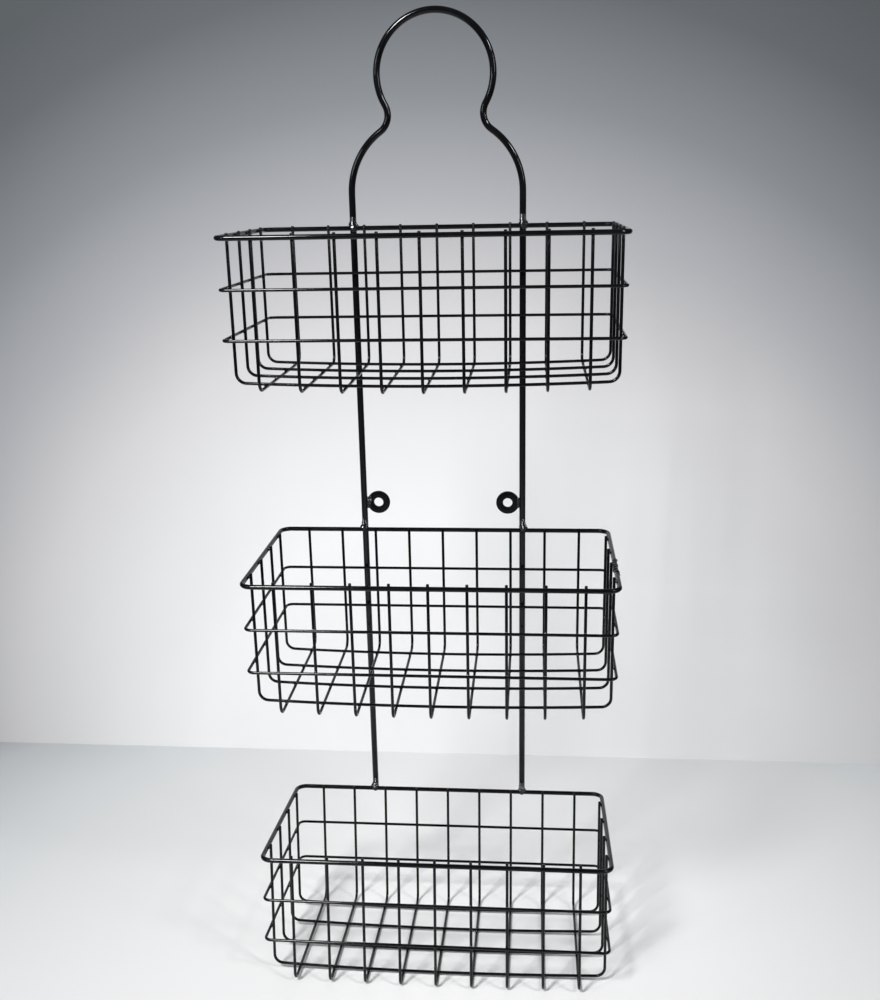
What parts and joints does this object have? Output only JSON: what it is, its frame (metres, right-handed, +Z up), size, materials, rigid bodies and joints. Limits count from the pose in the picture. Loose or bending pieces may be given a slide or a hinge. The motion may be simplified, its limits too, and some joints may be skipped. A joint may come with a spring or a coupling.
{
  "type": "three-tier wire organizer",
  "caption": "Hanging wire organizer: shallow rectangular baskets welded one above the other to a bent wire frame with a round hanging loop and screw eyelets.",
  "frame": {"origin": "middle of the bounding box's underside, on the surface that the bottom basket stands on", "axes": "+X to the right as seen from the front, +Y towards the wall, +Z up"},
  "size_m": [0.268, 0.2005, 0.7281],
  "materials": {
    "coated_frame_wire": "gloss black coating on drawn steel wire",
    "coated_basket_wire": "gloss black coating on drawn steel wire",
    "coated_washer": "gloss black coating on a punched steel washer",
    "coated_weld": "gloss black coating over a lumpy weld bead"
  },
  "bodies": {
    "root": {"hanger_frame": "coated_frame_wire", "left_eyelet": "coated_washer", "right_eyelet": "coated_washer", "eyelet_welds": "coated_weld", "bottom_rim": "coated_basket_wire", "middle_rim": "coated_basket_wire", "top_rim": "coated_basket_wire", "bottom_upper_hoop": "coated_basket_wire", "middle_upper_hoop": "coated_basket_wire", "top_upper_hoop": "coated_basket_wire", "bottom_lower_hoop": "coated_basket_wire", "middle_lower_hoop": "coated_basket_wire", "top_lower_hoop": "coated_basket_wire", "bottom_lengthwise_wire_1": "coated_basket_wire", "bottom_lengthwise_wire_2": "coated_basket_wire", "bottom_lengthwise_wire_3": "coated_basket_wire", "bottom_lengthwise_wire_4": "coated_basket_wire", "middle_lengthwise_wire_1": "coated_basket_wire", "middle_lengthwise_wire_2": "coated_basket_wire", "middle_lengthwise_wire_3": "coated_basket_wire", "middle_lengthwise_wire_4": "coated_basket_wire", "top_lengthwise_wire_1": "coated_basket_wire", "top_lengthwise_wire_2": "coated_basket_wire", "top_lengthwise_wire_3": "coated_basket_wire", "top_lengthwise_wire_4": "coated_basket_wire", "bottom_crosswise_wire_1": "coated_basket_wire", "bottom_crosswise_wire_2": "coated_basket_wire", "bottom_crosswise_wire_3": "coated_basket_wire", "bottom_crosswise_wire_4": "coated_basket_wire", "bottom_crosswise_wire_5": "coated_basket_wire", "bottom_crosswise_wire_6": "coated_basket_wire", "bottom_crosswise_wire_7": "coated_basket_wire", "bottom_crosswise_wire_8": "coated_basket_wire", "bottom_crosswise_wire_9": "coated_basket_wire", "middle_crosswise_wire_1": "coated_basket_wire", "middle_crosswise_wire_2": "coated_basket_wire", "middle_crosswise_wire_3": "coated_basket_wire", "middle_crosswise_wire_4": "coated_basket_wire", "middle_crosswise_wire_5": "coated_basket_wire", "middle_crosswise_wire_6": "coated_basket_wire", "middle_crosswise_wire_7": "coated_basket_wire", "middle_crosswise_wire_8": "coated_basket_wire", "middle_crosswise_wire_9": "coated_basket_wire", "top_crosswise_wire_1": "coated_basket_wire", "top_crosswise_wire_2": "coated_basket_wire", "top_crosswise_wire_3": "coated_basket_wire", "top_crosswise_wire_4": "coated_basket_wire", "top_crosswise_wire_5": "coated_basket_wire", "top_crosswise_wire_6": "coated_basket_wire", "top_crosswise_wire_7": "coated_basket_wire", "top_crosswise_wire_8": "coated_basket_wire", "top_crosswise_wire_9": "coated_basket_wire", "bottom_welds": "coated_weld", "middle_welds": "coated_weld", "top_welds": "coated_weld"}
  },
  "joints": []
}
